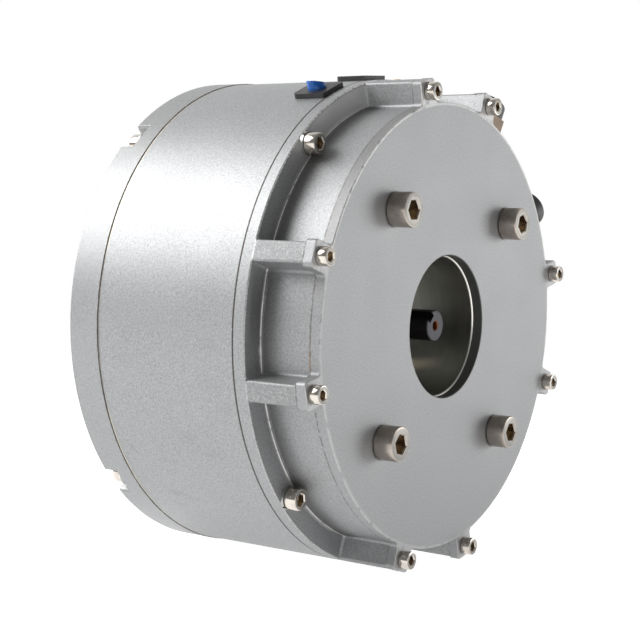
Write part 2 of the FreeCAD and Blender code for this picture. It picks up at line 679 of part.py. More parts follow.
def shaft():
    front_seat = FRONT_BEARING_Y + BEARING_W
    thread_end = ROTOR_BACK_Y + NUT_LEN + THREAD_RUNOUT
    tail = REAR_BEARING_END_Y
    body = revolved([
        (0, SHAFT_END_Y), (JOURNAL_R - SHAFT_CHAMFER, SHAFT_END_Y),
        (JOURNAL_R, SHAFT_END_Y + SHAFT_CHAMFER), (JOURNAL_R, JOURNAL_END_Y),
        (BEARING_BORE_R, JOURNAL_END_Y), (BEARING_BORE_R, front_seat), (COLLAR_R, front_seat),
        (COLLAR_R, ROTOR_FRONT_Y), (ROTOR_SEAT_R, ROTOR_FRONT_Y), (ROTOR_SEAT_R, thread_end),
        (REAR_STEP_R, thread_end), (REAR_STEP_R, REAR_BEARING_Y), (BEARING_BORE_R, REAR_BEARING_Y),
        (BEARING_BORE_R, tail), (TAIL_R, tail), (TAIL_R, tail + TAIL_LEN), (0, tail + TAIL_LEN)])
    key_slot = block(JOURNAL_R - SHAFT_KEY_DEPTH, JOURNAL_R + OVER, SHAFT_END_Y - OVER,
                     SHAFT_END_Y + SHAFT_KEY_LEN, SHAFT_KEY_W)
    tap = revolved([(0, SHAFT_END_Y - OVER), (SHAFT_TAP_R + SHAFT_TAP_SINK + OVER, SHAFT_END_Y - OVER),
                    (SHAFT_TAP_R, SHAFT_END_Y + SHAFT_TAP_SINK),
                    (SHAFT_TAP_R, SHAFT_END_Y + SHAFT_TAP_DEPTH), (0, SHAFT_END_Y + SHAFT_TAP_DEPTH)])
    return body.cut([turned(key_slot, SHAFT_KEY_ANGLE), tap, rotor_key()])


def rotor_key():
    return block(ROTOR_SEAT_R - ROTOR_KEY_H / 2, ROTOR_SEAT_R + ROTOR_KEY_H / 2,
                 ROTOR_FRONT_Y + ROTOR_KEY_MARGIN, ROTOR_BACK_Y - ROTOR_KEY_MARGIN, ROTOR_KEY_W)


def sensor_magnet():
    y = REAR_BEARING_END_Y + TAIL_LEN
    return cylinder(TAIL_R, y, y + SENSOR_MAGNET_T)


# Rotor

def rotor_disc():
    front = ROTOR_FRONT_Y + MAGNET_T
    back = front + ROTOR_PLATE_T
    disc = revolved([(ROTOR_SEAT_R, ROTOR_FRONT_Y), (ROTOR_HUB_R, ROTOR_FRONT_Y), (ROTOR_HUB_R, front),
                     (ROTOR_R, front), (ROTOR_R, back), (ROTOR_HUB_R, back), (ROTOR_HUB_R, ROTOR_BACK_Y),
                     (ROTOR_SEAT_R, ROTOR_BACK_Y)])
    tools = holes(ROTOR_HOLE_R, front - OVER, back + OVER, (ROTOR_HUB_R + STATOR_INNER_R) / 2,
                  even_angles(ROTOR_HOLES))
    key_way = block(0, ROTOR_SEAT_R + ROTOR_KEY_H / 2, ROTOR_FRONT_Y - OVER, ROTOR_BACK_Y + OVER, ROTOR_KEY_W)
    return cut_all(disc, tools + [key_way])


def rotor_nut():
    y0 = ROTOR_BACK_Y
    nut = ring(NUT_R, ROTOR_SEAT_R, y0, y0 + NUT_LEN)
    slot = block(NUT_R - NUT_SLOT / 2, NUT_R + OVER, y0 - OVER, y0 + NUT_LEN + OVER, NUT_SLOT)
    return cut_all(nut, round_array(slot, even_angles(4, 45)))


def magnets(y):
    magnet = sector(STATOR_INNER_R, STATOR_OUTER_R, MAGNET_ARC, y, y + MAGNET_T)
    return round_array(magnet, even_angles(MAGNET_COUNT))


def rotor_band():
    return ring(ROTOR_R + BAND_T, ROTOR_R, ROTOR_FRONT_Y, ROTOR_BACK_Y)


# Stators: wound strip cores with open slots, and one coil round each tooth

def slots(y0, y1, first):
    slot = block(0, STATOR_OUTER_R + OVER, y0, y1, SLOT_W)
    return round_array(slot, even_angles(TOOTH_COUNT, first))


def stator_core(back_y, front_y, tooth_y0, tooth_y1):
    core = ring(STATOR_OUTER_R, STATOR_INNER_R, back_y, front_y)
    return cut_all(core, slots(tooth_y0, tooth_y1, 180.0 / TOOTH_COUNT))


def coil(y0):
    """One coil round the tooth that points along +X."""
    pitch = 360.0 / TOOTH_COUNT
    inner = STATOR_INNER_R - COIL_GAP - COIL_SIDE
    outer = STATOR_OUTER_R + COIL_GAP + COIL_SIDE
    y1 = y0 + COIL_LEN
    wedge = sector(inner, outer, pitch, y0, y1)
    gap = block(0, outer + OVER, y0 - OVER, y1 + OVER, SLOT_W - 2 * (COIL_SIDE + COIL_GAP))
    wedge = wedge.cut([turned(gap, s * pitch / 2) for s in (-1, 1)])
    wedge = wedge.makeFillet(COIL_CORNER, edges_where(wedge, along_axis))
    window = sector(STATOR_INNER_R - COIL_GAP, STATOR_OUTER_R + COIL_GAP, pitch, y0 - OVER, y1 + OVER)
    side = block(0, outer + OVER, y0 - 2 * OVER, y1 + 2 * OVER, SLOT_W - 2 * COIL_GAP)
    window = window.cut([turned(side, s * pitch / 2) for s in (-1, 1)])
    return wedge.cut(window)


def coils(y0):
    return round_array(coil(y0), even_angles(TOOTH_COUNT))


# Ports: plated hexagon fittings screwed into the drum's bosses, closed with black caps

def upright(shape, seat_r, turn=0.0):
    """A piece modelled along +Y from the origin, stood on a port's seat so that it points outwards."""
    copy = shape.copy()
    copy.rotate(ORIGIN, AXIS, turn)
    copy.rotate(ORIGIN, V(0, 0, 1), -90)
    copy.translate(V(seat_r, PORT_Y, 0))
    return copy


def port_seal():
    return upright(ring(PORT_BOSS_R - PORT_SEAL_INSET, PORT_THREAD_R, 0, PORT_SEAL_T), PORT_SEAT_R)


def port_fitting():
    hexa = hexagon(PORT_HEX, PORT_HEX_H)
    nose = cylinder(PORT_THREAD_R, -PORT_BOSS_RISE - CHAMBER_WALL, PORT_HEX_H + PORT_NOSE)
    body = hexa.fuse(nose).cut(cylinder(PORT_BORE_R, -PORT_BOSS_RISE - CHAMBER_WALL - OVER,
                                        PORT_HEX_H + PORT_NOSE + OVER))
    return upright(body, PORT_SEAT_R + PORT_SEAL_T, PORT_HEX_TURN)


def port_cap():
    top = PORT_NOSE + CAP_TOP
    cap = revolved([(PORT_THREAD_R, 0), (CAP_R, 0), (CAP_R, top - CAP_ROUND), (CAP_R - CAP_ROUND, top),
                    (0, top), (0, PORT_NOSE), (PORT_THREAD_R, PORT_NOSE)])
    return upright(cap, PORT_SEAT_R + PORT_SEAL_T + PORT_HEX_H)


# Lead plates, their plugs, and the insulated studs through the housing tube

def lead_plate():
    y1 = LEAD_Y + LEAD_PLATE_LEN
    plate = block(BODY_R - LEAD_PLATE_T, BODY_R + LEAD_PLATE_T, LEAD_Y, y1, LEAD_PLATE_W)
    rear = edges_where(plate, lambda e: abs(middle(e).y - y1) < TINY
                       and abs(abs(middle(e).z) - LEAD_PLATE_W / 2) < TINY)
    plate = plate.makeFillet(LEAD_PLATE_CORNER, rear)
    plate = plate.cut(cylinder(BODY_R, LEAD_Y - OVER, y1 + OVER))
    return plate.cut(spoke(PLUG_STEM_R, BODY_R - OVER, BODY_R + LEAD_PLATE_T + OVER, LEAD_MID_Y))


def marker_plug(head_r, rise):
    """A plug whose stem fills the hole in its lead plate."""
    top = BODY_R + LEAD_PLATE_T
    stem = spoke(PLUG_STEM_R, BODY_R, top + rise / 2, LEAD_MID_Y)
    head = spoke(head_r, top, top + rise, LEAD_MID_Y)
    rim = edges_where(head, lambda e: abs(middle(e).x - top - rise) < TINY)
    return stem.fuse(head.makeChamfer(PLUG_EDGE, rim)).removeSplitter()


def blanking_plug():
    return spoke(PLUG_STEM_R, BODY_R, BODY_R + LEAD_PLATE_T, LEAD_MID_Y)


def stud_bush():
    bush = spoke(BUSH_R, HOUSING_INNER_R, BODY_R, LEAD_MID_Y)
    bush = bush.common(cylinder(BODY_R - BUSH_SINK, HOUSING_FRONT_Y, HOUSING_BACK_Y))
    return bush.cut(spoke(STUD_R, HOUSING_INNER_R - OVER, BODY_R + OVER, LEAD_MID_Y))


def lead_stud():
    return spoke(STUD_R, HOUSING_INNER_R - STUD_TAIL, BODY_R - STUD_SINK, LEAD_MID_Y)


def lead_strap():
    """Copper strap from the stud back over the coils."""
    top = HOUSING_INNER_R - STUD_TAIL
    return block(top - STRAP_T, top, LEAD_MID_Y - STUD_R, LEAD_MID_Y + STRAP_LEN, STRAP_W)


def main():
    os.makedirs("parts", exist_ok=True)

    save("front_plate", [front_plate()])
    save("front_housing", [front_housing()])
    save("main_housing", [main_housing()])
    save("rear_cover", [rear_cover()])
    save("front_gasket", [gasket(FLANGE_BACK_Y, FRONT_GASKET_T, M6_FRONT)])
    save("rear_gasket", [gasket(HOUSING_BACK_Y, REAR_GASKET_T, M6_REAR)])
    for name, radius in zip(("inner", "outer"), seal_middles()):
        save("chamber_seal_" + name, [chamber_seal(radius)])

    save("plate_screws", placed_all(cap_screw(M5), SCREW_CIRCLE_R, 0, EAR_ANGLES))
    save("mounting_screws", placed_all(cap_screw(M10), MOUNT_CIRCLE_R, 0, DIAGONALS))
    seat = FLANGE_FRONT_Y - SPRING_WASHER_T
    save("flange_screws", placed_all(cap_screw(M6_FRONT), SCREW_CIRCLE_R, seat, DIAGONALS))
    save("flange_spring_washers", placed_all(spring_washer(), SCREW_CIRCLE_R, seat, DIAGONALS))
    seat = rear_screw_seat_y()
    save("cover_screws", placed_all(flipped(cap_screw(M6_REAR)), SCREW_CIRCLE_R, seat, DIAGONALS))
    save("cover_washers", placed_all(flat_washer(), SCREW_CIRCLE_R, seat - FLAT_WASHER_T, DIAGONALS))

    for number, angle in enumerate(PORT_ANGLES, 1):
        save("port_fitting_%d" % number, [turned(port_fitting(), angle)])
        save("port_seal_%d" % number, [turned(port_seal(), angle)])
        save("port_cap_%d" % number, [turned(port_cap(), angle)])
    for number, angle in enumerate(LEAD_ANGLES, 1):
        save("lead_plate_%d" % number, [turned(lead_plate(), angle)])
    save("marker_plug_blue", [turned(marker_plug(PLUG_R, PLUG_RISE), LEAD_ANGLES[0])])
    save("blanking_plug", [turned(blanking_plug(), LEAD_ANGLES[1])])
    save("marker_plug_ochre", [turned(marker_plug(PLUG_R, PLUG_RISE), LEAD_ANGLES[2])])
    save("stud_bushes", round_array(stud_bush(), LEAD_ANGLES))
    save("lead_studs", round_array(lead_stud(), LEAD_ANGLES))
    save("lead_straps", round_array(lead_strap(), LEAD_ANGLES))

    for end, y in (("front", FRONT_BEARING_Y), ("rear", REAR_BEARING_Y)):
        save(end + "_bearing_outer_ring", [outer_ring(y)])
        save(end + "_bearing_inner_ring", [inner_ring(y)])
        save(end + "_bearing_balls", balls(y))
        save(end + "_bearing_cage", [cage(y)])
    save("bearing_circlip", [circlip()])
    save("preload_spring", [preload_spring()])
    save("shaft_seal", [shaft_seal()])

    save("shaft", [shaft()])
    save("rotor_key", [rotor_key()])
    save("rotor_disc", [rotor_disc()])
    save("rotor_nut", [rotor_nut()])
    save("rotor_magnets_front", magnets(ROTOR_FRONT_Y))
    save("rotor_magnets_rear", magnets(ROTOR_BACK_Y - MAGNET_T))
    save("rotor_band", [rotor_band()])
    save("sensor_magnet", [sensor_magnet()])

    save("stator_core_front", [stator_core(WEB_BACK_Y, FRONT_GAP_Y, FRONT_TOOTH_Y, FRONT_GAP_Y + OVER)])
    save("stator_core_rear", [stator_core(REAR_GAP_Y, REAR_SEAT_Y, REAR_GAP_Y - OVER, REAR_TOOTH_Y)])
    save("stator_coils_front", coils(FRONT_TOOTH_Y + COIL_CLEAR))
    save("stator_coils_rear", coils(REAR_GAP_Y + COIL_CLEAR))

    save("sensor_board", [sensor_board()])
    save("sensor_cover", [sensor_cover()])
    save("sensor_cover_screws", placed_all(sensor_screw(), SENSOR_SCREW_R, 0, DIAGONALS))


main()
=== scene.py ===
import math

import bmesh
import bpy
from mathutils import Matrix, Vector


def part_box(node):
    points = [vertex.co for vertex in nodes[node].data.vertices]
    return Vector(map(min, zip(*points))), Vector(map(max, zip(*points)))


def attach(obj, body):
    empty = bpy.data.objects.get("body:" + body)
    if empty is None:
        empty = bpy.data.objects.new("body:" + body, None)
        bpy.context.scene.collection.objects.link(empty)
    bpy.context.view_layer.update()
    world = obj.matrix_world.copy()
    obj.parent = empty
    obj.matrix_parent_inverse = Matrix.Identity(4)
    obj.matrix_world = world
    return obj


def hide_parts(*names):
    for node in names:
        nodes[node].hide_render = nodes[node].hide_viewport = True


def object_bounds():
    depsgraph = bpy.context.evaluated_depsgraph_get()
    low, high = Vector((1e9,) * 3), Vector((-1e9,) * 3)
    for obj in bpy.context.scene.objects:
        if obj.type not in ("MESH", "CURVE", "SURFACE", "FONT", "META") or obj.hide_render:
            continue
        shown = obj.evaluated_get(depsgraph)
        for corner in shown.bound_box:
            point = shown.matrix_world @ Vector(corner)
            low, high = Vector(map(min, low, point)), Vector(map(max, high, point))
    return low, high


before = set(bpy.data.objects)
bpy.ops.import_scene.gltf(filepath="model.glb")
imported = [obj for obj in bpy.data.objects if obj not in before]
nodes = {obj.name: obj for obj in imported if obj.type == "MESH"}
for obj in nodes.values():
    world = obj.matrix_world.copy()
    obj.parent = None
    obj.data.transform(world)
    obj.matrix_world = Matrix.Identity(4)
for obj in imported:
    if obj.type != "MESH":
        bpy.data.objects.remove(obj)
cad_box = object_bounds()

# Front plate. A flat disc of painted aluminium with eight ears, screwed onto the ribs of the drum. Its
# paint is a satin silver with a fine grain, a little dirt at the joint and a few light marks. Painted shade
# darkens the wall of its bore, and a painted highlight runs along the upper front edge.


class Wire:
    """An output of a shader node that Python sums can be written with."""

    def __init__(self, graph, socket):
        self.graph = graph
        self.socket = socket

    def sum(self, operation, *values):
        inputs = dict(enumerate(values))
        return self.graph.node("ShaderNodeMath", {"operation": operation}, inputs)

    def __add__(self, other):
        return self.sum("ADD", self, other)

    def __radd__(self, other):
        return self.sum("ADD", other, self)

    def __sub__(self, other):
        return self.sum("SUBTRACT", self, other)

    def __rsub__(self, other):
        return self.sum("SUBTRACT", other, self)

    def __mul__(self, other):
        return self.sum("MULTIPLY", self, other)

    def __pow__(self, other):
        return self.sum("POWER", self, other)

    def __abs__(self):
        return self.sum("ABSOLUTE", self)

    def larger(self, other):
        return self.sum("MAXIMUM", self, other)


class Graph:
    """The shader nodes of a material or of the world."""

    def __init__(self, tree):
        self.tree = tree

    def node(self, kind, settings, inputs, output=0):
        """Add a node with its settings, and with a value or a wire for each socket named."""
        made = self.tree.nodes.new(kind)
        for key, value in settings.items():
            setattr(made, key, value)
        for key, value in inputs.items():
            self.feed(made.inputs[key], value)
        return Wire(self, made.outputs[output])

    def feed(self, socket, value):
        if isinstance(value, Wire):
            self.tree.links.new(value.socket, socket)
        else:
            socket.default_value = value

    def ray(self, kind):
        """1 for the light paths of a kind, 0 for all others."""
        return self.node("ShaderNodeLightPath", {}, {}, "Is %s Ray" % kind)


class Finish(Graph):
    """One material, with the object's millimetres ready to write patterns in."""

    def __init__(self, name, **constants):
        self.material = bpy.data.materials.new(name)
        self.material.use_nodes = True
        super().__init__(self.material.node_tree)
        self.shader = self.tree.nodes["Principled BSDF"]
        self.set(**constants)
        place = self.node("ShaderNodeTexCoord", {}, {}, "Object")
        self.mm = self.scaled(place, (1000, 1000, 1000))
        self.x = self.node("ShaderNodeSeparateXYZ", {}, {0: self.mm}, "X")
        self.y = self.node("ShaderNodeSeparateXYZ", {}, {0: self.mm}, "Y")
        self.z = self.node("ShaderNodeSeparateXYZ", {}, {0: self.mm}, "Z")

    def set(self, **values):
        """Give the surface its values: a socket's name with _ for a space, and a constant or a wire."""
        for key, value in values.items():
            self.feed(self.shader.inputs[key.replace("_", " ")], value)

    def scaled(self, place, factors):
        return self.node("ShaderNodeVectorMath", {"operation": "MULTIPLY"}, {0: place, 1: factors})

    def radius(self, x=0.0, z=0.0):
        """Distance from an axis that runs parallel to the shaft."""
        across = (self.x - x) * (self.x - x) + (self.z - z) * (self.z - z)
        return across ** 0.5

    def noise(self, size, detail=2.0, stretch=(1, 1, 1), rough=0.5):
        """Cloudy pattern from 0 to 1 whose patches are about size millimetres across."""
        spread = self.scaled(self.mm, tuple(share / size for share in stretch))
        return self.node("ShaderNodeTexNoise", {}, {"Vector": spread, "Scale": 1.0, "Detail": detail,
                                                    "Roughness": rough})

    def spots(self, size, share, soft):
        """Round specks, 1 in their middle, in about the given share of cells of that size."""
        spread = self.scaled(self.mm, (1 / size,) * 3)
        distance = self.node("ShaderNodeTexVoronoi", {}, {"Vector": spread, "Scale": 1.0}, "Distance")
        return self.step(share - distance, 0.0, soft)

    def step(self, value, start, end):
        """0 below start, 1 above end, smooth between."""
        return self.node("ShaderNodeMapRange", {"interpolation_type": "SMOOTHSTEP"},
                         {"Value": value, "From Min": start, "From Max": end})

    def below(self, value, start, end):
        """1 below start, 0 above end, smooth between."""
        return 1 - self.step(value, start, end)

    def near(self, value, place, reach):
        """1 at a place along a value, fading to 0 at a distance."""
        return self.below(abs(value - place), 0.0, reach)

    def mix(self, share, first, second):
        """Colour between two colours."""
        return self.node("ShaderNodeMix", {"data_type": "RGBA"}, {0: share, 6: first, 7: second}, 2)

    def overlay(self, colour, *layers):
        """A colour with others laid over it in turn, each as far as its share says."""
        for share, over in layers:
            colour = self.mix(share, colour, over)
        return colour

    def shaded(self, colour, factor):
        """A colour made lighter or darker by a factor that varies."""
        grey = self.node("ShaderNodeCombineXYZ", {}, {0: factor, 1: factor, 2: factor})
        return self.node("ShaderNodeMix", {"data_type": "RGBA", "blend_type": "MULTIPLY"},
                         {0: 1.0, 6: colour, 7: grey}, 2)

    def bump(self, height, depth_mm):
        """Relief of a height pattern from 0 to 1 that is depth_mm deep."""
        self.set(Normal=self.node("ShaderNodeBump", {}, {"Height": height, "Distance": depth_mm / 1000,
                                                         "Strength": 1.0}))

    def dress(self, *names):
        """Give the finish to pieces of the frame."""
        for name in names:
            mesh = nodes[name].data
            mesh.materials.clear()
            mesh.materials.append(self.material)


def tone(red, green, blue):
    """A colour as it is read off a screen, 0 to 255, as the light that it stands for."""
    channels = []
    for value in (red, green, blue):
        part = value / 255
        channels.append(part / 12.92 if part <= 0.04045 else ((part + 0.055) / 1.055) ** 2.4)
    return (*channels, 1.0)


def span(node):
    """Where a node of the frame starts and ends along the shaft, in millimetres."""
    return [corner.y * 1000 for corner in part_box(node)]


PAINT = tone(168, 169, 170)
PAINT_DARK = tone(120, 119, 116)
PAINT_LIGHT = tone(226, 226, 226)
EDGE_WEAR_AND_HIGHLIGHT = tone(250, 249, 246)
GRIME = tone(74, 64, 52)
PAINT_METALLIC = 0.62


def paint(name, grain, relief, roughness):
    """Silver paint before its marks: returns the finish, its colour and its roughness."""
    finish = Finish(name, Metallic=PAINT_METALLIC, IOR=1.45)
    fine = finish.noise(0.85, 2.0, rough=0.7)
    cloud = finish.noise(24.0, 3.0)
    sparkle = finish.noise(0.4, 1.0)
    factor = 1 + (fine - 0.5) * grain * 9 + (cloud - 0.5) * 0.10 + (sparkle - 0.5) * grain * 6
    colour = finish.shaded(PAINT, factor)
    rough = roughness + (cloud - 0.5) * 0.10 + (fine - 0.5) * 0.08
    finish.bump(fine * 0.6 + finish.noise(1.6, 2.0) * 0.4, relief)
    return finish, colour, rough


PLATE_R = 106.0
BORE_R = 34.0
MOUNT_CIRCLE_R = 74.0
MOUNT_HEAD_R = 8.0
DIAGONALS = (45, 135, 225, 315)
plate_front, plate_back = span("front_plate")

plate, colour, rough = paint("plate_paint", grain=0.08, relief=0.008, roughness=0.54)
radius = plate.radius()
rim = plate.step(radius, PLATE_R - 1.6, PLATE_R - 1.0)
joint = rim * plate.near(plate.y, plate_back, 0.6) * plate.step(plate.noise(2.2, 3.0), 0.32, 0.56)
# Painted shade: the wall of the plate's bore is coloured dark grey.
bore_shade = plate.below(radius, BORE_R + 0.35, BORE_R + 0.5)
side = plate.step(radius, PLATE_R - 0.4, PLATE_R - 0.1) * plate.below(radius, PLATE_R + 0.1, PLATE_R + 0.4)
side = side * plate.step(plate.y, plate_front + 0.4, plate_front + 0.6)
side = side * plate.step(plate.z, -10.0, 50.0)
# Lighter front edge: worn paint broken up by noise, partly a painted highlight that is stronger on the upper
# part.
edge = rim * plate.near(plate.y, plate_front + 0.2, 0.35) * plate.step(plate.noise(5.0, 3.0), 0.30, 0.50)
edge = edge * (0.4 + plate.step(plate.z, 20.0, 60.0) * 0.55)
scuffs = plate.step(plate.noise(1.4, 3.0, (1, 1, 0.12)), 0.69, 0.75)
scuffs = scuffs * plate.step(plate.noise(30.0, 2.0), 0.50, 0.62)
colour = plate.overlay(colour, (joint * 0.8, GRIME), (bore_shade * 0.85, tone(84, 85, 80)),
                       (side * 0.45, PAINT_DARK), (edge, EDGE_WEAR_AND_HIGHLIGHT), (scuffs * 0.35, PAINT_LIGHT))
for angle in DIAGONALS:
    x = MOUNT_CIRCLE_R * math.cos(math.radians(angle))
    z = MOUNT_CIRCLE_R * math.sin(math.radians(angle))
    head_mark = plate.near(plate.radius(x, z), MOUNT_HEAD_R + 0.2, 0.8)
    colour = plate.mix(head_mark * 0.35, colour, PAINT_DARK)
plate.set(Base_Color=colour, Roughness=rough + scuffs * 0.1)
plate.dress("front_plate")

# Front housing. One aluminium casting with flange, drum, ribs and the round cavity, painted outside and
# turned bright inside the cavity. The cast skin is coarser than the plate, and its edges are nicked.
# Painted shade darkens the pockets, the drum beside the flange and the rib tops; painted highlights lie
# along the flange's rim, the fillet at its foot, the upper flange face and inside the cavity.

BODY_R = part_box("front_housing")[1].x * 1000
DRUM_R = 105.7
FLANGE_T = 6.1
POCKET_SHADE = tone(84, 83, 81)
flange_back = span("front_gasket")[0]
flange_front = flange_back - FLANGE_T

cast, colour, rough = paint("cast_paint", grain=0.11, relief=0.05, roughness=0.52)
radius = cast.radius()
beside_flange = cast.near(cast.y, flange_front, 0.4)
rib_top = cast.step(radius, BODY_R - 0.6, BODY_R - 0.2)
rib_top = rib_top * cast.below(cast.y, flange_front - 0.9, flange_front + 0.1)
# Painted shade in the corner between the drum and the flange.
corner = cast.near(cast.y, flange_front, 1.8) * cast.near(radius, DRUM_R + 0.1, 2.2)
shade = beside_flange * cast.below(radius, BODY_R - 5.4, BODY_R - 0.6)
shade = shade * cast.near(cast.z, 4.0, 30.0) * cast.below(cast.x, -90.0, -80.0)
# Painted shade on the drum, growing towards the flange.
depth = cast.step(radius, DRUM_R - 5.7, DRUM_R - 4.7) * cast.below(radius, DRUM_R + 0.2, DRUM_R + 0.9)
depth = depth * cast.step(cast.y, flange_front - 13.5, flange_front - 0.9)
# Painted light: the upper part of the flange's front face is coloured near white.
upper_face_light = beside_flange * cast.step(cast.z, 62.0, 96.0) * cast.below(radius, BODY_R - 1.4, BODY_R - 0.6)
# Painted highlight: a bright line along the fillet between drum and flange, broken up by noise.
crease_highlight = cast.near(radius + cast.y, DRUM_R + flange_front, 0.5) * cast.near(cast.y, flange_front - 0.5, 1.2)
crease_highlight = crease_highlight * cast.step(cast.noise(3.0, 3.0), 0.28, 0.46)
joint = cast.near(cast.y, plate_back, 1.0) * cast.step(cast.noise(2.0, 3.0), 0.30, 0.54)
varnish = cast.near(cast.y, plate_back + 0.3, 1.0) * cast.near(cast.z, -16.0, 11.0)
varnish = varnish * cast.below(cast.x, -100.0, -95.0)
# Bright line along the flange's front rim: nicks in the paint, partly a painted highlight that is stronger on
# the upper part.
flange_edge = cast.near(cast.y, flange_front + 0.1, 0.6) * cast.step(radius, BODY_R - 0.8, BODY_R - 0.5)
flange_edge = flange_edge * (0.3 + cast.step(cast.z, 20.0, 70.0) * 0.7)
nicks_and_highlight = flange_edge * cast.step(cast.noise(1.1, 3.0), 0.36, 0.5)
seam = cast.near(cast.y, flange_back, 0.6) * cast.step(radius, BODY_R - 0.8, BODY_R - 0.2)
chips = cast.step(cast.noise(1.1, 3.0), 0.56, 0.66)
pits = cast.spots(2.3, 0.16, 0.05)
# Painted shade on the rib tops, stronger on the +x side.
rib_top_shade = rib_top * (0.12 + cast.step(cast.x, 0.0, 20.0) * 0.5)
colour = cast.overlay(colour, (corner * 0.6, PAINT_DARK), (shade * 0.5, POCKET_SHADE),
                      (depth * 0.6, POCKET_SHADE), (upper_face_light * 0.7, tone(246, 246, 245)),
                      (crease_highlight * 0.8, EDGE_WEAR_AND_HIGHLIGHT), (joint * 0.7, GRIME), (varnish * 0.8, tone(150, 122, 84)),
                      (nicks_and_highlight, tone(252, 250, 246)), (seam * 0.75, GRIME), (rib_top_shade, PAINT_DARK),
                      (rib_top * chips * 0.35, PAINT_LIGHT), (pits * (0.2 + rib_top * 0.3), PAINT_DARK))

cavity = cast.below(radius, BORE_R + 0.25, BORE_R + 0.35)
cavity = cavity * cast.step(cast.y, plate_back - 1.0, plate_back - 0.1)
# Painted highlight: a near-white ring at the front lip of the cavity.
lip_highlight = cavity * cast.below(cast.y, plate_back + 0.28, plate_back + 0.4)
rings = cast.noise(0.5, 2.0, (0.004, 1, 0.004))
blotches = cast.noise(9.0, 3.0, (0.6, 1.4, 0.6))
glint = cast.near(cast.z + cast.y * 0.12, -16.8, 4.5) * cast.step(cast.y, plate_back + 9.0, plate_back + 29.0)
turned = cast.shaded(tone(176, 176, 171), 0.6 + rings * 0.3 + blotches * 0.36)
turned = cast.overlay(turned, (glint * 0.9, tone(255, 244, 222)), (lip_highlight, tone(250, 246, 236)))
turned_rough = 0.22 + rings * 0.14 + blotches * 0.06
cast.set(Base_Color=cast.mix(cavity, colour, turned),
         Metallic=PAINT_METALLIC + cavity * (1 - PAINT_METALLIC) - glint * cavity * 0.6,
         Roughness=(rough + rib_top * 0.12) * (1 - cavity) + cavity * turned_rough)
cast.dress("front_housing")

# Main housing. A smooth painted aluminium tube between flange and rear cover, with fine pits and smears
# of dirt beside both of its joints. Cream gasket paper is squeezed out at the rear one.

tube_front, tube_back = span("main_housing")
SCRATCHES = ((107.2, -63.9, 0.945), (98.0, -90.6, 0.32))     # middle y and z, and rise of z along y

tube, colour, rough = paint("tube_paint", grain=0.11, relief=0.012, roughness=0.5)
front_seam = tube.near(tube.y, tube_front, 0.7) * tube.step(tube.noise(1.5, 3.0), 0.26, 0.44)
rear_seam = tube.near(tube.y, tube_back, 0.9) * tube.step(tube.noise(3.0, 3.0), 0.42, 0.60)
squeeze = tube.near(tube.y, tube_back - 0.1, 0.45) * tube.step(abs(tube.z + 8), 26.0, 44.0)
specks = tube.spots(5.0, 0.09, 0.03)
smear = tube.step(tube.noise(11.0, 4.0, (1, 0.35, 1)), 0.58, 0.78) * tube.below(tube.z, -60.0, 20.0)
colour = tube.overlay(colour, (front_seam * 0.75, PAINT_DARK), (rear_seam * 0.55, PAINT_DARK),
                      (squeeze, tone(238, 230, 212)), (specks * 0.45, PAINT_DARK), (smear * 0.18, PAINT_DARK))
for middle_y, middle_z, slope in SCRATCHES:
    across = abs(tube.z - middle_z - (tube.y - middle_y) * slope)
    scratch = tube.below(across, 0.0, 0.7) * tube.near(tube.y, middle_y, 5.0) * tube.below(tube.x, -1.0, 0.0)
    colour = tube.mix(scratch * 0.5, colour, PAINT_DARK)
tube.set(Base_Color=colour, Roughness=rough + smear * 0.08)
tube.dress("main_housing")

# Rear cover. A turned and painted aluminium disc, with four notches in its rim for the screws. The round
# sensor cover lies flush in its middle and has the same paint.

LID_R = 36.0
cover_front = span("rear_gasket")[1]
cover_back = span("rear_cover")[1]

cover, colour, rough = paint("cover_paint", grain=0.08, relief=0.012, roughness=0.5)
radius = cover.radius()
edge = cover.near(cover.y, cover_back - 0.2, 0.6) * cover.step(radius, BODY_R - 0.8, BODY_R - 0.2)
edge = edge * cover.step(cover.noise(1.4, 3.0), 0.44, 0.60)
seam = cover.near(cover.y, cover_front, 0.8) * cover.step(cover.noise(2.4, 3.0), 0.44, 0.60)
specks = cover.spots(6.0, 0.08, 0.03)
lid_gap = cover.near(radius, LID_R, 0.35) * cover.step(cover.y, cover_back - 0.6, cover_back - 0.1)
# Painted shade: the upper half of the cover is coloured a little darker.
colour = cover.overlay(colour, (cover.step(cover.z, 0.0, 60.0) * 0.14, PAINT_DARK), (edge * 0.6, PAINT_LIGHT),
                       (seam * 0.5, PAINT_DARK), (specks * 0.4, PAINT_DARK), (lid_gap * 0.8, GRIME))
cover.set(Base_Color=colour, Roughness=rough)
cover.dress("rear_cover", "sensor_cover")

# Gaskets. A dark paper ring behind the flange and a cream one before the rear cover, both pressed thin
# between the parts so that only their edges show.

dark_paper = Finish("dark_gasket", Roughness=0.8)
fibre = dark_paper.noise(0.8, 3.0)
dark_paper.set(Base_Color=dark_paper.shaded(tone(58, 56, 54), 0.6 + fibre * 0.8))
dark_paper.bump(fibre, 0.03)
dark_paper.dress("front_gasket")

cream_paper = Finish("cream_gasket", Roughness=0.75)
fibre = cream_paper.noise(1.2, 3.0)
dirt = cream_paper.step(cream_paper.noise(14.0, 3.0), 0.40, 0.62)
dirt = dirt * cream_paper.below(cream_paper.z, -30.0, 40.0)
cream = cream_paper.shaded(tone(214, 205, 186), 0.8 + fibre * 0.4)
cream_paper.set(Base_Color=cream_paper.mix(dirt * 0.7, cream, tone(70, 68, 66)))
cream_paper.bump(fibre, 0.03)
cream_paper.dress("rear_gasket")

# Socket head screws. Nickel plated steel, turned, with a rounded rim and a pressed hexagon. Eight M5 hold
# the front plate, four M10 stand on it, four M6 hold the flange and four M6 the rear cover. Painted shade
# darkens their hex sockets and the gap under each head.


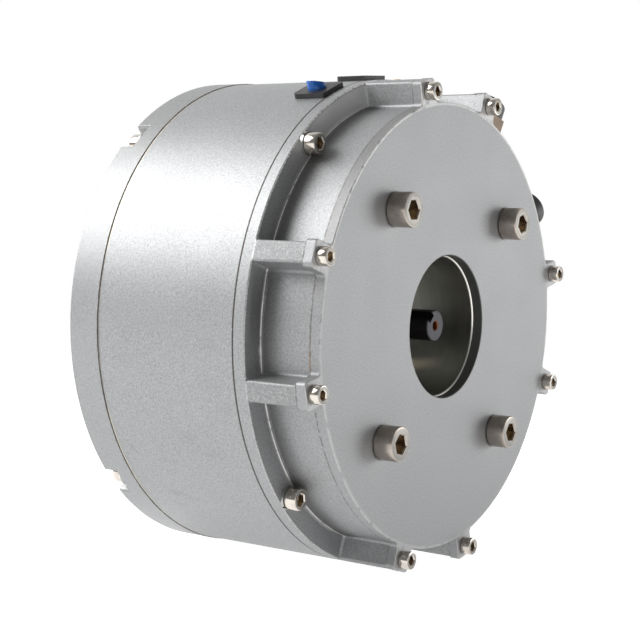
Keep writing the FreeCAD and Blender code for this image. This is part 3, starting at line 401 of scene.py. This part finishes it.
def plated(name, colour, roughness):
    """Nickel plate over turned steel: fine turning marks, light wear and a little tarnish."""
    finish = Finish(name, Metallic=1.0)
    turning = finish.noise(0.22, 2.0, (0.02, 1, 0.02))
    wear = finish.noise(2.4, 3.0)
    tarnish = finish.step(finish.noise(4.0, 3.0), 0.50, 0.68)
    worn = finish.shaded(colour, 0.78 + turning * 0.24 + wear * 0.12)
    finish.set(Base_Color=finish.mix(tarnish * 0.2, worn, tone(134, 122, 106)),
               Roughness=roughness + wear * 0.1 + tarnish * 0.06)
    finish.bump(turning * 0.85 + wear * 0.15, 0.008)
    return finish


bright_nickel = plated("nickel_plate", tone(212, 205, 196), 0.12)
dull_nickel = plated("worn_nickel_plate", tone(180, 171, 162), 0.24)

# Hex socket walls, brownish and darker than the plating: partly the steel's tint, partly painted shade.
socket_tint_and_shade = Finish("socket_wall_shade", Metallic=1.0, Roughness=0.24)
blotches = socket_tint_and_shade.noise(2.2, 1.0)
socket_tint_and_shade.set(Base_Color=socket_tint_and_shade.mix(blotches, tone(134, 120, 102), tone(196, 184, 166)))
socket_tint_and_shade.bump(blotches, 0.02)

end_finish = Finish("screw_end", Metallic=1.0)
wear = end_finish.noise(0.8, 3.0)
end_finish.set(Base_Color=end_finish.shaded(tone(148, 145, 140), 0.7 + wear * 0.5),
               Roughness=0.36 + wear * 0.14)
end_finish.bump(wear, 0.03)

# Painted shade: the collar under each head is coloured near black, standing for the shaded gap under the
# head.
gap_shade_finish = Finish("head_gap_shade", Roughness=0.7)
blotches = gap_shade_finish.noise(1.0, 2.0)
gap_shade_finish.set(Base_Color=gap_shade_finish.mix(blotches, tone(34, 32, 30), tone(66, 60, 54)))


def only(piece):
    """Make a piece the one that operators act on."""
    bpy.ops.object.select_all(action="DESELECT")
    piece.select_set(True)
    bpy.context.view_layer.objects.active = piece


def add_bar(sides, radius, y0, y1):
    """A bar along the shaft's direction, in millimetres."""
    bpy.ops.mesh.primitive_cylinder_add(
        vertices=sides, radius=radius / 1000, depth=(y1 - y0) / 1000,
        location=(0, (y0 + y1) / 2000, 0), rotation=(math.pi / 2, 0, 0))
    bar = bpy.context.active_object
    bpy.ops.object.transform_apply(location=True, rotation=True, scale=True)
    return bar


def add_cone(sides, front_r, back_r, y0, y1):
    """A cone along the shaft's direction: front_r at y0, back_r at y1, in millimetres."""
    bpy.ops.mesh.primitive_cone_add(
        vertices=sides, radius1=back_r / 1000, radius2=front_r / 1000, depth=(y1 - y0) / 1000,
        location=(0, (y0 + y1) / 2000, 0), rotation=(math.pi / 2, 0, 0))
    cone = bpy.context.active_object
    bpy.ops.object.transform_apply(location=True, rotation=True, scale=True)
    return cone


def pick_faces(piece, wanted):
    """Open a piece for editing with only the wanted faces selected."""
    only(piece)
    bpy.ops.object.mode_set(mode="EDIT")
    bpy.ops.mesh.select_mode(type="FACE")
    bpy.ops.mesh.select_all(action="DESELECT")
    mesh = bmesh.from_edit_mesh(piece.data)
    for face in mesh.faces:
        face.select_set(wanted(face.calc_center_median() * 1000, face.normal))
    bmesh.update_edit_mesh(piece.data)


def close_edit():
    bpy.ops.object.mode_set(mode="OBJECT")


def carve(piece, cutter):
    """Take the cutter's shape out of the piece."""
    only(piece)
    modifier = piece.modifiers.new("cut", "BOOLEAN")
    modifier.operation = "DIFFERENCE"
    modifier.solver = "EXACT"
    modifier.object = cutter
    bpy.ops.object.modifier_apply(modifier=modifier.name)
    bpy.data.objects.remove(cutter)


def weld(*pieces):
    """Make several pieces one object."""
    only(pieces[0])
    for piece in pieces[1:]:
        piece.select_set(True)
    bpy.ops.object.join()
    return pieces[0]


def model_screw(plating, head_r, height, key, shank_r, length, rounding, gap):
    """A socket head screw with its seat at the origin and its head towards the front."""
    head = add_bar(64, head_r, -height, -gap)
    pick_faces(head, lambda place, normal: normal.y < -0.9)
    bpy.ops.mesh.bevel(offset=rounding / 1000, segments=2, affect="EDGES")
    close_edit()
    pick_faces(head, lambda place, normal: normal.y > 0.9)
    bpy.ops.mesh.bevel(offset=rounding / 3000, segments=2, affect="EDGES")
    close_edit()
    corner_r = key / math.sqrt(3)
    depth = height * 0.55
    carve(head, add_cone(6, corner_r + 1.0, corner_r, -height - 0.5, -height + 0.5))
    carve(head, add_bar(6, corner_r, -height - 0.5, -height + depth))
    carve(head, add_cone(32, key * 0.46, 0.05, -height + depth - 0.01, -height + depth + key * 0.2))
    collar = add_bar(48, head_r - gap * 1.6, -gap - 0.2, 0)
    shank = add_bar(32, shank_r, -0.5, length)
    pick_faces(shank, lambda place, normal: normal.y > 0.9)
    bpy.ops.mesh.bevel(offset=shank_r / 5000, segments=1, affect="EDGES")
    close_edit()
    screw = weld(head, collar, shank)
    screw.data.materials.clear()
    for finish in (plating, socket_tint_and_shade, end_finish, gap_shade_finish):
        screw.data.materials.append(finish.material)
    inner = corner_r + 0.02
    parts = (lambda place, normal: math.hypot(place.x, place.z) < inner
             and -height + 0.3 < place.y < -height + depth + key,
             lambda place, normal: normal.y < -0.95 and place.y < 0.01 - height,
             lambda place, normal: -gap < place.y < 0 and math.hypot(place.x, place.z) > shank_r + 0.3)
    for index, wanted in enumerate(parts, 1):
        pick_faces(screw, wanted)
        screw.active_material_index = index
        bpy.ops.object.material_slot_assign()
        close_edit()
    only(screw)
    bpy.ops.object.shade_smooth_by_angle(angle=math.radians(28))
    return screw


def set_screws(pattern, node, circle, angles, turns, seat_y, backwards=False):
    """Copy a screw to each of its places. Each copy's socket is turned as its fitter left it."""
    for number, (angle, turn) in enumerate(zip(angles, turns), 1):
        copy = pattern.copy()
        copy.data = pattern.data.copy()
        copy.name = "%s_%d" % (node, number)
        bpy.context.collection.objects.link(copy)
        place = Matrix.Rotation(math.radians(turn), 4, "Y")
        if backwards:
            place = Matrix.Rotation(math.pi, 4, "X") @ place
        where = Vector((math.cos(math.radians(angle)), 0, math.sin(math.radians(angle)))) * circle
        where.y = seat_y
        copy.data.transform(Matrix.Translation(where / 1000) @ place)
        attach(copy, "casing")
        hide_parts(node)
    bpy.data.objects.remove(pattern)


EAR_ANGLES = (15, 75, 105, 165, 195, 255, 285, 345)
SCREW_CIRCLE_R = 112.0
M5_HEAD = {"head_r": 4.25, "height": 5.0, "key": 4.0, "shank_r": 2.5, "rounding": 0.5, "gap": 0.25}
M6_HEAD = {"head_r": 5.0, "height": 6.0, "key": 5.0, "shank_r": 3.0, "rounding": 0.6, "gap": 0.3}
M10_HEAD = {"head_r": MOUNT_HEAD_R, "height": 10.0, "key": 8.0, "shank_r": 5.0, "rounding": 0.75, "gap": 0.45}

plate_screw = model_screw(bright_nickel, length=22.0, **M5_HEAD)
set_screws(plate_screw, "plate_screws", SCREW_CIRCLE_R, EAR_ANGLES, (10, 35, 20, 50, 5, 28, 44, 15),
           seat_y=plate_front)
mounting_screw = model_screw(dull_nickel, length=25.0, **M10_HEAD)
set_screws(mounting_screw, "mounting_screws", MOUNT_CIRCLE_R, DIAGONALS, (12, 24, 40, 30),
           seat_y=span("mounting_screws")[0] + M10_HEAD["height"])
flange_screw = model_screw(bright_nickel, length=22.0, **M6_HEAD)
set_screws(flange_screw, "flange_screws", SCREW_CIRCLE_R, DIAGONALS, (5, 20, 48, 31),
           seat_y=span("flange_screws")[0] + M6_HEAD["height"])
cover_screw = model_screw(bright_nickel, length=28.0, **M6_HEAD)
set_screws(cover_screw, "cover_screws", SCREW_CIRCLE_R, DIAGONALS, (17, 42, 8, 25),
           seat_y=span("cover_screws")[1] - M6_HEAD["height"], backwards=True)

# Washers. Spring washers under the flange screws, flat ones in the notches of the cover: zinc plated, a
# little duller than the screws. The rotor key and the bearing's preload spring match them.

zinc = Finish("zinc_steel", Metallic=1.0)
grain = zinc.noise(0.6, 3.0)
zinc.set(Base_Color=zinc.shaded(tone(168, 168, 166), 0.8 + grain * 0.4), Roughness=0.34 + grain * 0.2)
zinc.bump(grain, 0.01)
zinc.dress("flange_spring_washers", "cover_washers", "rotor_key", "preload_spring")

# Ports. Two plated hexagon fittings screwed into the drum, each on a rubber ring and closed with a moulded
# black cap. Only their tops show past the edge of the plate. The lower fitting is coloured near black.

fitting = Finish("fitting_plate", Metallic=0.8)
wear = fitting.noise(3.0, 3.0)
# Below z = 70 mm the fitting is coloured near black.
darkened_low = fitting.below(fitting.z, 70.0, 80.0) * (0.7 + wear * 0.3)
plating = fitting.shaded(tone(206, 186, 166), 0.85 + wear * 0.3)
fitting.set(Base_Color=fitting.mix(darkened_low, plating, tone(40, 37, 34)), Roughness=0.34 + wear * 0.16)
fitting.bump(fitting.noise(0.5, 2.0), 0.01)
fitting.dress("port_fitting_1", "port_fitting_2")

moulded = Finish("black_moulding", Specular_IOR_Level=0.45)
grain = moulded.noise(0.35, 2.0)
haze = moulded.noise(6.0, 3.0)
dust = moulded.step(moulded.noise(0.9, 4.0), 0.58, 0.72)
black = moulded.shaded(tone(44, 43, 44), 0.7 + haze * 0.6)
moulded.set(Base_Color=moulded.mix(dust * 0.3, black, tone(128, 127, 124)), Roughness=0.36 + haze * 0.18)
moulded.bump(grain, 0.02)
moulded.dress("port_cap_1", "port_cap_2", "lead_plate_1", "lead_plate_2", "lead_plate_3", "blanking_plug",
              "stud_bushes")

rubber = Finish("seal_rubber", Roughness=0.62)
grain = rubber.noise(0.5, 2.0)
rubber.set(Base_Color=rubber.shaded(tone(40, 40, 41), 0.7 + grain * 0.6))
rubber.bump(grain, 0.02)
rubber.dress("port_seal_1", "port_seal_2", "chamber_seal_inner", "chamber_seal_outer", "shaft_seal")

# Marker plugs. A blue and an ochre plug of smooth plastic, pushed into two of the three lead plates. The
# blue one is cut level on top. Brass studs below the plates carry the phases through the tube, with
# copper straps to the coils.

PLUG_SEAT_R = 119.5
PLUG_SEAT_Y = 47.2
PLUG_HEAD_R = 4.35
PLUG_STEM_R = 3.0
PLUG_ROUNDING = 0.3
PLUGS = (("marker_plug_blue", "blue_plastic", tone(0, 98, 188), 115.4, 5.0, 110.5),
         ("marker_plug_ochre", "ochre_plastic", tone(206, 150, 48), 80.0, 3.2, None))

for node, slot, colour, angle, rise, level_z in PLUGS:
    plug = Finish(node, Specular_IOR_Level=0.5)
    haze = plug.noise(2.5, 3.0)
    plug.set(Base_Color=plug.shaded(colour, 0.8 + haze * 0.4), Roughness=0.28 + haze * 0.14)
    plug.bump(plug.noise(0.5, 2.0), 0.01)
    head = add_bar(48, PLUG_HEAD_R, -rise, 0)
    pick_faces(head, lambda place, normal: normal.y < -0.9)
    bpy.ops.mesh.bevel(offset=PLUG_ROUNDING / 1000, segments=3, affect="EDGES")
    close_edit()
    piece = weld(head, add_bar(32, PLUG_STEM_R, -0.4, 2.0))
    only(piece)
    bpy.ops.object.shade_smooth_by_angle(angle=math.radians(30))
    piece.name = node + "_dressed"
    piece.data.materials.clear()
    piece.data.materials.append(plug.material)
    outwards = Matrix.Rotation(math.radians(90 - angle), 4, "Y") @ Matrix.Rotation(-math.pi / 2, 4, "X")
    seat = Vector((math.cos(math.radians(angle)) * PLUG_SEAT_R, PLUG_SEAT_Y,
                   math.sin(math.radians(angle)) * PLUG_SEAT_R))
    piece.data.transform(Matrix.Translation(seat / 1000) @ outwards)
    if level_z:
        bpy.ops.object.mode_set(mode="EDIT")
        bpy.ops.mesh.select_all(action="SELECT")
        bpy.ops.mesh.bisect(plane_co=(0, 0, level_z / 1000), plane_no=(0, 0, 1), use_fill=True,
                            clear_outer=True)
        close_edit()
    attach(piece, "casing")
    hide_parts(node)

brass = Finish("stud_brass", Metallic=1.0)
grain = brass.noise(0.8, 3.0)
brass.set(Base_Color=brass.shaded(tone(196, 160, 92), 0.75 + grain * 0.4), Roughness=0.3 + grain * 0.15)
brass.dress("lead_studs")

strap = Finish("strap_copper", Metallic=1.0)
grain = strap.noise(0.8, 3.0)
strap.set(Base_Color=strap.shaded(tone(198, 120, 84), 0.75 + grain * 0.4), Roughness=0.3 + grain * 0.15)
strap.dress("lead_straps")

# Shaft. Steel with a black oxide skin, ground grey on its front end, where a tapped hole shows a little
# rust. The keyway was milled before blackening. The rotor nut and the circlip have the same black skin.

TAPPED_R = 2.5
TAPPED_DEPTH = 14.0

shaft_steel = Finish("shaft_steel")
shaft_end = span("shaft")[0]
face = shaft_steel.below(shaft_steel.y, shaft_end + 0.15, shaft_end + 0.4)
hole = shaft_steel.below(shaft_steel.radius(), TAPPED_R - 0.05, TAPPED_R + 0.1)
hole = hole * shaft_steel.below(shaft_steel.y, shaft_end + TAPPED_DEPTH, shaft_end + TAPPED_DEPTH + 0.2)
grain = shaft_steel.noise(0.7, 3.0)
thread = shaft_steel.node("ShaderNodeTexWave", {"bands_direction": "Y", "wave_profile": "TRI"},
                          {"Vector": shaft_steel.mm, "Scale": 0.39}, "Fac")
steel_colour = shaft_steel.shaded(tone(46, 44, 46), 0.7 + grain * 0.6)
steel_colour = shaft_steel.mix(face, steel_colour, shaft_steel.shaded(tone(80, 80, 85), 0.8 + grain * 0.4))
rust = shaft_steel.mix(thread, tone(54, 28, 14), tone(172, 98, 42))
steel_colour = shaft_steel.mix(hole, steel_colour, rust)
shaft_steel.set(Base_Color=steel_colour, Metallic=0.75 - face * 0.35,
                Roughness=0.34 + face * 0.16 + grain * 0.1)
shaft_steel.bump(grain * 0.3 + thread * hole, 0.08)
shaft_steel.dress("shaft")

black_oxide = Finish("black_oxide", Metallic=0.8)
grain = black_oxide.noise(0.8, 3.0)
black_oxide.set(Base_Color=black_oxide.shaded(tone(50, 49, 50), 0.7 + grain * 0.6),
                Roughness=0.34 + grain * 0.16)
black_oxide.dress("bearing_circlip", "rotor_nut", "sensor_cover_screws")

# Bearings. Ground steel rings and balls, with a moulded cage in each. They are pressed into the hubs of the
# housing and the cover, out of sight.

ground_steel = Finish("bearing_steel", Metallic=1.0)
marks = ground_steel.noise(0.3, 2.0, (0.05, 1, 0.05))
ground_steel.set(Base_Color=ground_steel.shaded(tone(200, 201, 203), 0.85 + marks * 0.3),
                 Roughness=0.16 + marks * 0.12)
ground_steel.dress("front_bearing_outer_ring", "front_bearing_inner_ring", "front_bearing_balls",
                   "rear_bearing_outer_ring", "rear_bearing_inner_ring", "rear_bearing_balls")

cage = Finish("cage_polyamide", Roughness=0.5)
haze = cage.noise(2.0, 3.0)
cage.set(Base_Color=cage.shaded(tone(206, 196, 166), 0.85 + haze * 0.3))
cage.dress("front_bearing_cage", "rear_bearing_cage")

# Rotor. A turned aluminium disc with ten plated magnets on each face, in a wound composite band, and a
# small round magnet on the shaft's rear end for the sensor.

disc = Finish("rotor_aluminium", Metallic=1.0)
groove = disc.node("ShaderNodeTexNoise", {"noise_dimensions": "1D"},
                   {"W": disc.radius() * 2.0, "Scale": 1.0, "Detail": 3.0})
disc.set(Base_Color=disc.shaded(tone(196, 197, 199), 0.8 + groove * 0.35), Roughness=0.28 + groove * 0.14)
disc.bump(groove, 0.02)
disc.dress("rotor_disc")

magnet = Finish("magnet_plate", Metallic=1.0)
grain = magnet.noise(1.0, 3.0)
magnet.set(Base_Color=magnet.shaded(tone(186, 185, 180), 0.85 + grain * 0.3), Roughness=0.22 + grain * 0.14)
magnet.dress("rotor_magnets_front", "rotor_magnets_rear", "sensor_magnet")

band = Finish("band_composite", Coat_Weight=0.6, Coat_Roughness=0.2)
tow = band.noise(0.9, 2.0, (0.06, 1, 0.06))
band.set(Base_Color=band.shaded(tone(46, 46, 50), 0.6 + tow * 0.9), Roughness=0.38 + tow * 0.2)
band.bump(tow, 0.05)
band.dress("rotor_band")

# Stators. Cores wound from thin steel strip, with twelve open slots, and a coil of enamelled copper wire
# round each tooth.

core = Finish("core_strip", Metallic=1.0)
strip = core.node("ShaderNodeTexWave", {"wave_type": "RINGS", "rings_direction": "Y"},
                  {"Vector": core.mm, "Scale": 0.62, "Distortion": 0.4, "Detail": 1.0}, "Fac")
core.set(Base_Color=core.mix(strip, tone(74, 75, 80), tone(138, 139, 143)), Roughness=0.36 + strip * 0.14)
core.bump(strip, 0.04)
core.dress("stator_core_front", "stator_core_rear")

winding = Finish("winding_copper", Metallic=0.85, Coat_Weight=0.5, Coat_Roughness=0.25)
turns = winding.node("ShaderNodeTexWave", {"bands_direction": "Y"},
                     {"Vector": winding.mm, "Scale": 0.32, "Distortion": 0.6, "Detail": 2.0}, "Fac")
winding.set(Base_Color=winding.mix(turns, tone(96, 44, 22), tone(206, 118, 66)), Roughness=0.3 + turns * 0.1)
winding.bump(turns, 0.2)
winding.dress("stator_coils_front", "stator_coils_rear")

# Sensor board. A round green board of woven glass and resin under the sensor cover, over the magnet on
# the shaft's end.

board = Finish("board_green", Coat_Weight=0.3)
weave = board.noise(0.5, 2.0)
board.set(Base_Color=board.shaded(tone(28, 96, 56), 0.8 + weave * 0.4), Roughness=0.4 + weave * 0.1)
board.dress("sensor_board")

# Studio. A pale floor that the motor stands on, and a white backdrop behind it in a room that is dim in
# front. A large soft lamp stands behind on the left, a faint one above, one on the right for the plate and
# a small one on the left for the ribs.

ROOM_LEVEL = 0.1
FRONT_LEVEL = 0.22
FLOOR_GLOW = 0.9
TOWARDS_BACKDROP = (0.82, 0.57, 0.0)

floor_z = cad_box[0][2]
bpy.ops.mesh.primitive_grid_add(x_subdivisions=8, y_subdivisions=8, size=12, location=(0, 0, floor_z))
floor = bpy.context.active_object
floor.name = "studio_floor"
bpy.ops.object.transform_apply(location=True, rotation=True, scale=True)

floor_finish = Finish("studio_floor", Base_Color=(0.74, 0.74, 0.74, 1), Roughness=0.9, Specular_IOR_Level=0.1)
seen = floor_finish.ray("Camera").larger(floor_finish.ray("Glossy")).larger(floor_finish.ray("Transmission"))
glow = floor_finish.node("ShaderNodeEmission", {}, {"Color": (1, 1, 1, 1), "Strength": seen * FLOOR_GLOW})
diffuse = Wire(floor_finish, floor_finish.shader.outputs[0])
both = floor_finish.node("ShaderNodeAddShader", {}, {0: diffuse, 1: glow})
floor_finish.feed(floor_finish.tree.nodes["Material Output"].inputs["Surface"], both)
floor.data.materials.append(floor_finish.material)

world = bpy.data.worlds.new("studio")
bpy.context.scene.world = world
world.use_nodes = True
sky = Graph(world.node_tree)
heading = sky.node("ShaderNodeTexCoord", {}, {}, "Generated")
behind = sky.node("ShaderNodeVectorMath", {"operation": "DOT_PRODUCT"},
                  {0: heading, 1: TOWARDS_BACKDROP}, "Value")
backdrop = sky.node("ShaderNodeMapRange", {}, {"Value": behind, "From Min": 0.0, "From Max": 0.6,
                                               "To Min": FRONT_LEVEL, "To Max": 1.0})
mirrored = sky.ray("Glossy").larger(sky.ray("Transmission"))
camera_ray = sky.ray("Camera")
level = (1 - mirrored) * ROOM_LEVEL + mirrored * backdrop
background = world.node_tree.nodes["Background"]
sky.feed(background.inputs["Strength"], level * (1 - camera_ray) + camera_ray)
sky.feed(background.inputs["Color"], (1, 1, 1, 1))


def add_lamp(name, place, width, height, power):
    """A rectangular soft lamp that points at the motor's middle."""
    lamp = bpy.data.lights.new(name, "AREA")
    lamp.shape = "RECTANGLE"
    lamp.size = width
    lamp.size_y = height
    lamp.energy = power
    holder = bpy.data.objects.new(name, lamp)
    bpy.context.collection.objects.link(holder)
    holder.location = place
    holder.rotation_euler = (Vector((0, 0.07, 0)) - Vector(place)).to_track_quat("-Z", "Y").to_euler()


add_lamp("key_lamp", (-0.78, 1.1, 0.9), width=1.1, height=0.95, power=25)
add_lamp("top_lamp", (-0.2, -0.3, 1.3), width=1.0, height=1.0, power=0.8)
add_lamp("plate_lamp", (1.15, -0.9, 0.06), width=0.7, height=0.7, power=5.2)
add_lamp("fill_lamp", (-1.0, -0.7, 0.1), width=0.8, height=0.5, power=1.4)

# Camera. It stands where the photograph was taken from: front left, just above the shaft, and turned a
# little about its own line of sight.

CAMERA_AT = Vector((-0.62627, -0.36106, 0.01958))
AZIMUTH = math.radians(-55.212)
ELEVATION = math.radians(1.569)
ROLL = math.radians(3.113)
FOCAL_LENGTH = 84.97
SENSOR_WIDTH = 36

back = Vector((math.sin(AZIMUTH) * math.cos(ELEVATION), -math.cos(AZIMUTH) * math.cos(ELEVATION),
               math.sin(ELEVATION)))
right = Vector((0, 0, 1)).cross(back).normalized()
up = back.cross(right)
rolled_right = right * math.cos(ROLL) + up * math.sin(ROLL)
rolled_up = up * math.cos(ROLL) - right * math.sin(ROLL)
lens = bpy.data.cameras.new("camera")
lens.lens = FOCAL_LENGTH
lens.sensor_width = SENSOR_WIDTH
camera = bpy.data.objects.new("camera", lens)
bpy.context.collection.objects.link(camera)
turn = Matrix((rolled_right, rolled_up, back)).transposed()
camera.matrix_world = Matrix.Translation(CAMERA_AT) @ turn.to_4x4()
bpy.context.scene.camera = camera
bpy.context.scene.view_settings.view_transform = "Standard"
